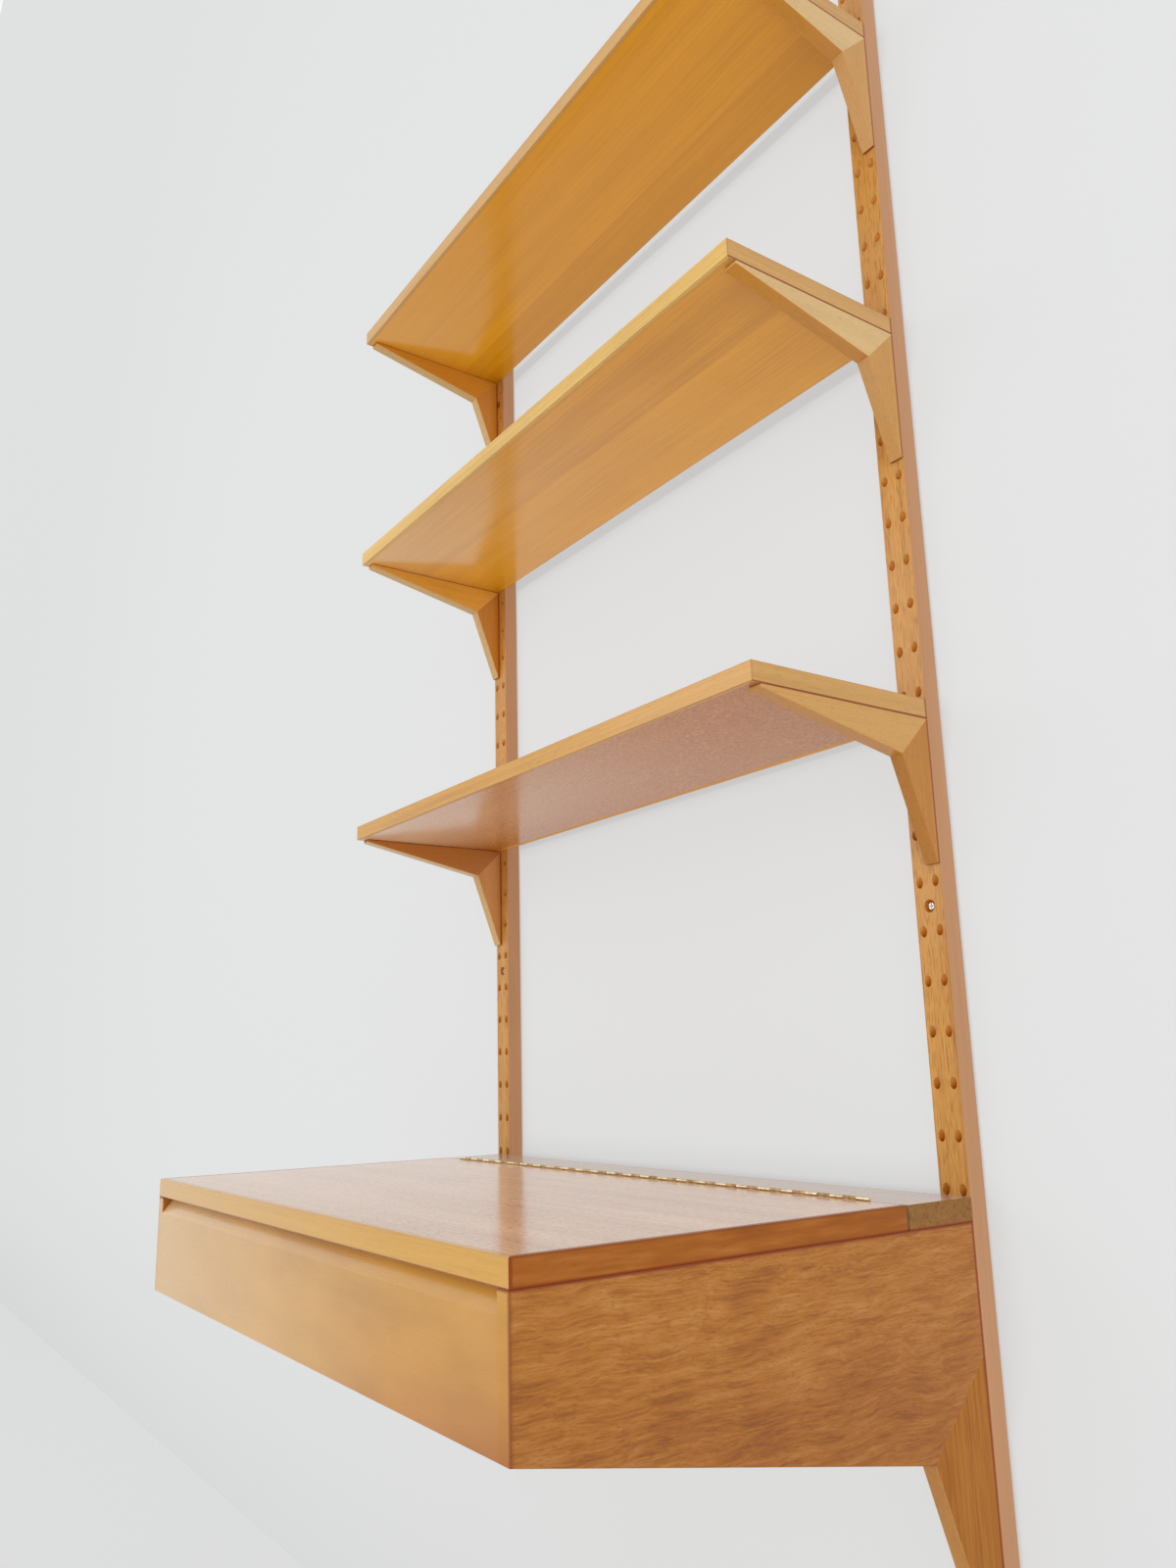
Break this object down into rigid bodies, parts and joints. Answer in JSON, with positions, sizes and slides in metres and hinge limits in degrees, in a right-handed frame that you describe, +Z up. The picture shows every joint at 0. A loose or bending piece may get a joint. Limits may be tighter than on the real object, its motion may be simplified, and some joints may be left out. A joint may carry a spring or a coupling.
{
  "type": "shelving unit with desk",
  "caption": "Wall-hung oak shelving unit: shelves and a lidded writing desk hang by pegs in slanted holes along wall rails, and the lid lifts on a piano hinge.",
  "frame": {"origin": "midway between the two middle wall screws, on the wall", "axes": "+X along the wall to the right as seen from the front, +Y into the wall, +Z up"},
  "size_m": [0.8, 0.48, 1.685],
  "materials": {
    "rail_oak": "satin lacquered solid oak",
    "bracket_oak": "satin lacquered solid oak",
    "shelf_veneer": "satin lacquered oak veneer",
    "lipping_oak": "satin lacquered oak lipping",
    "desk_veneer": "satin lacquered oak veneer",
    "lid_veneer": "satin lacquered oak veneer",
    "strip_oak": "satin lacquered oak with bare end grain",
    "plywood": "sanded birch plywood",
    "beech": "turned beech, unfinished",
    "peg_steel": "turned bright steel",
    "brass": "rolled brass, lightly tarnished"
  },
  "bodies": {
    "rails": {"left_rail": "rail_oak", "right_rail": "rail_oak"},
    "top_shelf": {"top_shelf_panel": "shelf_veneer", "top_shelf_rear_lipping": "lipping_oak", "top_shelf_front_lipping": "lipping_oak", "top_shelf_left_lipping": "lipping_oak", "top_shelf_right_lipping": "lipping_oak", "top_shelf_left_arm": "bracket_oak", "top_shelf_left_leg": "bracket_oak", "top_shelf_right_arm": "bracket_oak", "top_shelf_right_leg": "bracket_oak", "top_shelf_pegs": "peg_steel", "top_shelf_dowels": "beech"},
    "middle_shelf": {"middle_shelf_panel": "shelf_veneer", "middle_shelf_rear_lipping": "lipping_oak", "middle_shelf_front_lipping": "lipping_oak", "middle_shelf_left_lipping": "lipping_oak", "middle_shelf_right_lipping": "lipping_oak", "middle_shelf_left_arm": "bracket_oak", "middle_shelf_left_leg": "bracket_oak", "middle_shelf_right_arm": "bracket_oak", "middle_shelf_right_leg": "bracket_oak", "middle_shelf_pegs": "peg_steel", "middle_shelf_dowels": "beech"},
    "lower_shelf": {"lower_shelf_panel": "shelf_veneer", "lower_shelf_rear_lipping": "lipping_oak", "lower_shelf_front_lipping": "lipping_oak", "lower_shelf_left_lipping": "lipping_oak", "lower_shelf_right_lipping": "lipping_oak", "lower_shelf_left_arm": "bracket_oak", "lower_shelf_left_leg": "bracket_oak", "lower_shelf_right_arm": "bracket_oak", "lower_shelf_right_leg": "bracket_oak", "lower_shelf_pegs": "peg_steel", "lower_shelf_dowels": "beech"},
    "desk": {"desk_left_side": "desk_veneer", "desk_left_leg": "desk_veneer", "desk_right_side": "desk_veneer", "desk_right_leg": "desk_veneer", "desk_front": "desk_veneer", "desk_back": "plywood", "desk_bottom": "plywood", "desk_rear_strip": "strip_oak", "desk_pegs": "peg_steel", "desk_dowels": "beech", "hinge_fixed_leaf": "brass", "hinge_pin": "peg_steel", "hinge_fixed_screws": "brass"},
    "lid": {"lid_panel": "lid_veneer", "lid_rear_lipping": "lipping_oak", "lid_front_lipping": "lipping_oak", "lid_left_lipping": "lipping_oak", "lid_right_lipping": "lipping_oak", "hinge_lid_leaf": "brass", "hinge_lid_screws": "brass"}
  },
  "joints": [
    {"name": "top_shelf_lift", "type": "slide", "parent": "rails", "child": "top_shelf", "axis": [0, -0.7071, 0.7071], "range_m": [0, 0.018]},
    {"name": "middle_shelf_lift", "type": "slide", "parent": "rails", "child": "middle_shelf", "axis": [0, -0.7071, 0.7071], "range_m": [0, 0.018]},
    {"name": "lower_shelf_lift", "type": "slide", "parent": "rails", "child": "lower_shelf", "axis": [0, -0.7071, 0.7071], "range_m": [0, 0.018]},
    {"name": "desk_lift", "type": "slide", "parent": "rails", "child": "desk", "axis": [0, -0.7071, 0.7071], "range_m": [0, 0.018]},
    {"name": "lid_hinge", "type": "hinge", "parent": "desk", "child": "lid", "pos_m": [0, -0.10095, -0.2509], "axis": [-1, 0, 0], "range_deg": [0, 95]}
  ]
}
